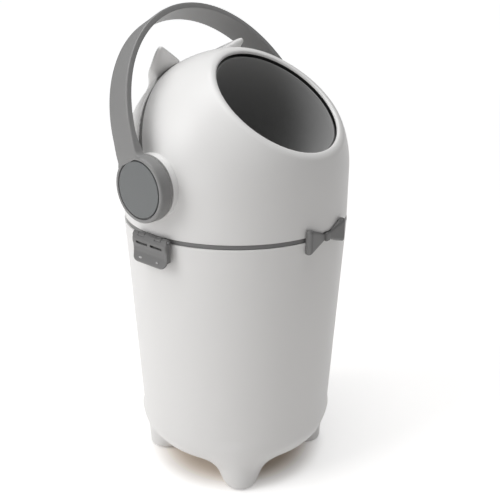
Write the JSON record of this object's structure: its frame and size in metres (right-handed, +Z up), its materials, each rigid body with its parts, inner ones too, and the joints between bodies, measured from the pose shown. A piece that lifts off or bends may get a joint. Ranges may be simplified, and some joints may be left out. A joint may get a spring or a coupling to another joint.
{
  "type": "nappy bin",
  "caption": "Free-standing nappy bin: tapered body on short feet, domed head with ears, round mouth, and an arched handle that tips the drum behind it.",
  "frame": {"origin": "on the floor, under the middle of the round body", "axes": "+Z up, -Y towards the front with the mouth and the bow, +X towards the side with the hinge, so the handle turns about an axis along X"},
  "size_m": [0.3244, 0.286, 0.5917],
  "materials": {
    "shell_white": "satin white moulding",
    "trim_grey": "satin mid grey moulding",
    "cap_grey": "matt cool grey moulding",
    "drum_grey": "matt grey moulding",
    "ring_grey": "matt grey moulding",
    "bush_plastic": "plain bearing plastic",
    "seal_dark": "soft black seal",
    "pad_dark": "matt rubber pad",
    "screw_steel": "plain steel"
  },
  "bodies": {
    "base": {"base_bucket": "shell_white", "foot_pads": "pad_dark", "hinge_leaf_base": "trim_grey", "hinge_base_screws": "screw_steel", "hinge_pin": "screw_steel"},
    "head": {"hood_front": "shell_white", "hood_rear": "shell_white", "shell_seal": "trim_grey", "mouth_seal": "seal_dark", "collar_ring": "trim_grey", "collar_screws": "screw_steel", "bush_left": "bush_plastic", "bush_right": "bush_plastic", "bow_tie": "trim_grey", "bow_tie_screws": "screw_steel", "latch_pin": "screw_steel", "hinge_leaf_head": "trim_grey", "hinge_head_screws": "screw_steel"},
    "drum": {"drum_ball": "drum_grey", "drum_cup": "drum_grey", "axle_left": "screw_steel", "axle_right": "screw_steel", "handle": "trim_grey", "hub_screws": "screw_steel", "hub_cap_left": "cap_grey", "hub_cap_right": "cap_grey"},
    "latch": {"side_latch": "trim_grey"},
    "ring": {"bag_ring": "ring_grey"}
  },
  "joints": [
    {"name": "head_open", "type": "hinge", "parent": "base", "child": "head", "pos_m": [0.1476, 0, 0.34175], "axis": [0, 1, 0], "range_deg": [0, 95]},
    {"name": "handle_turn", "type": "hinge", "parent": "head", "child": "drum", "pos_m": [0, 0, 0.4025], "axis": [1, 0, 0], "range_deg": [0, 140]},
    {"name": "latch_swing", "type": "hinge", "parent": "head", "child": "latch", "pos_m": [-0.145, 0, 0.343], "axis": [0, 1, 0], "range_deg": [0, 40]},
    {"name": "bag_ring_lift", "type": "slide", "parent": "base", "child": "ring", "axis": [0, 0, 1], "range_m": [0, 0.008]}
  ]
}
